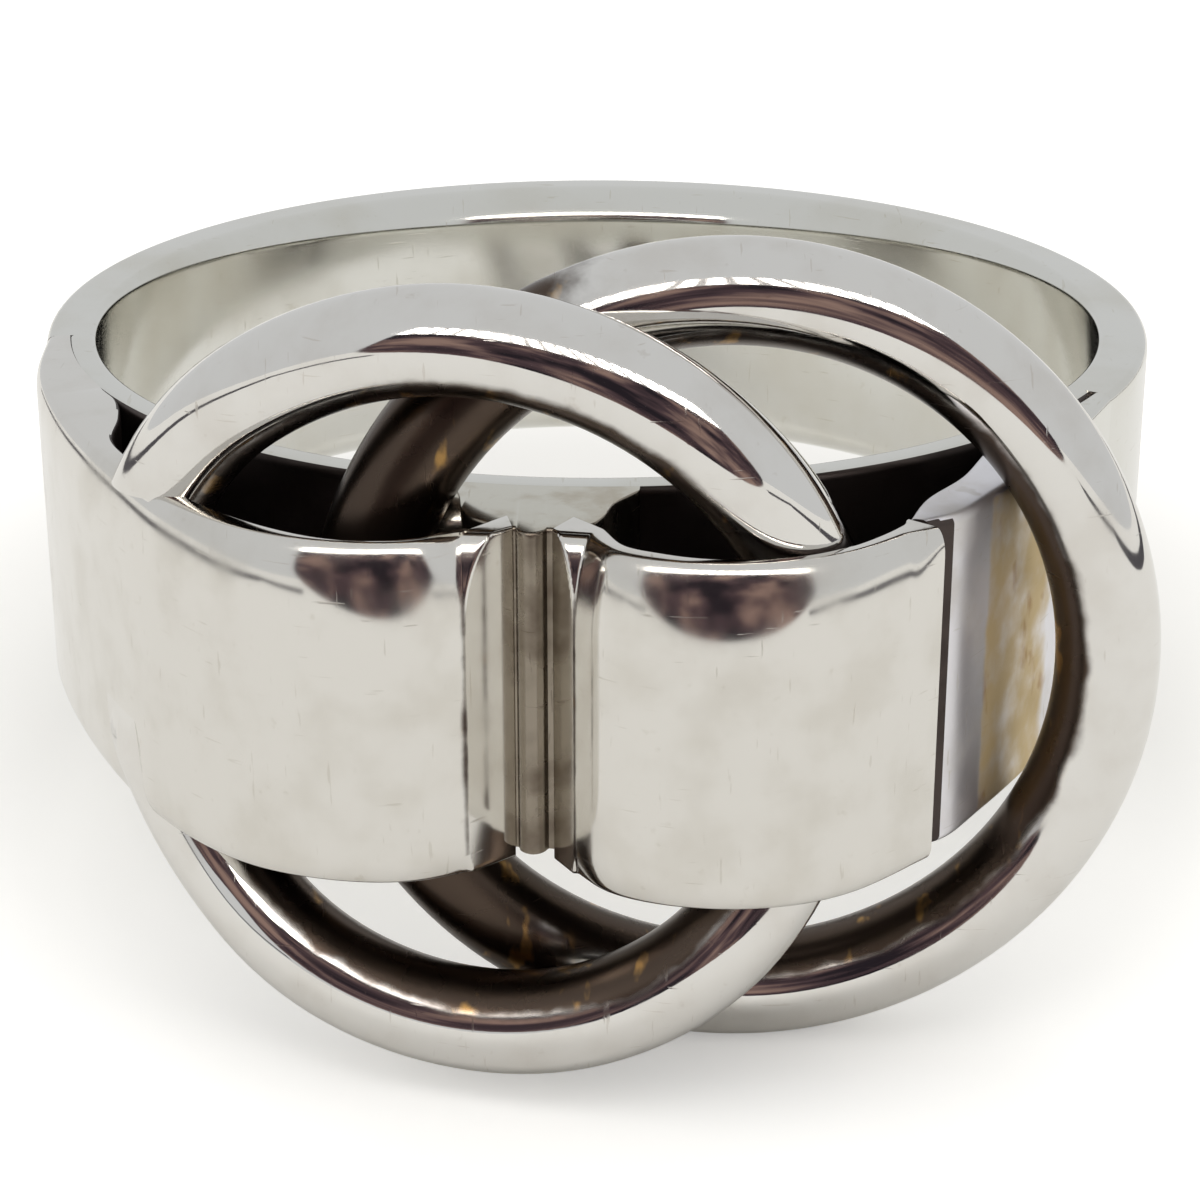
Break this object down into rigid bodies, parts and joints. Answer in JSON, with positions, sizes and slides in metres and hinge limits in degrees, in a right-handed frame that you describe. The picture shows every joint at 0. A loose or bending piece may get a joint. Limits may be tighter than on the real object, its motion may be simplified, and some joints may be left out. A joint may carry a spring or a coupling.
{
  "type": "finger ring",
  "caption": "Silver finger ring with a hollow double-bulged strap at the front that holds overlapping round wire links.",
  "frame": {"origin": "middle of the box's underside, so the ring stands upright on the lower edges of its links", "axes": "+Z runs along the finger axis, -Y is the decorated front of the ring, +X is the wearer's view right when the front faces them"},
  "size_m": [0.0192, 0.023, 0.0127],
  "materials": {
    "polished_silver": "polished, fine scratches",
    "worn_silver": "softly polished, worn",
    "tarnished_silver": "tarnished yellow brown",
    "dark_groove": "dark tarnish"
  },
  "bodies": {
    "root": {"shank": "worn_silver", "liner": "worn_silver", "left_bulge": "polished_silver", "right_bulge": "polished_silver", "tail_plate": "tarnished_silver", "centre_post": "dark_groove", "left_link": "polished_silver", "right_link": "polished_silver"}
  },
  "joints": []
}
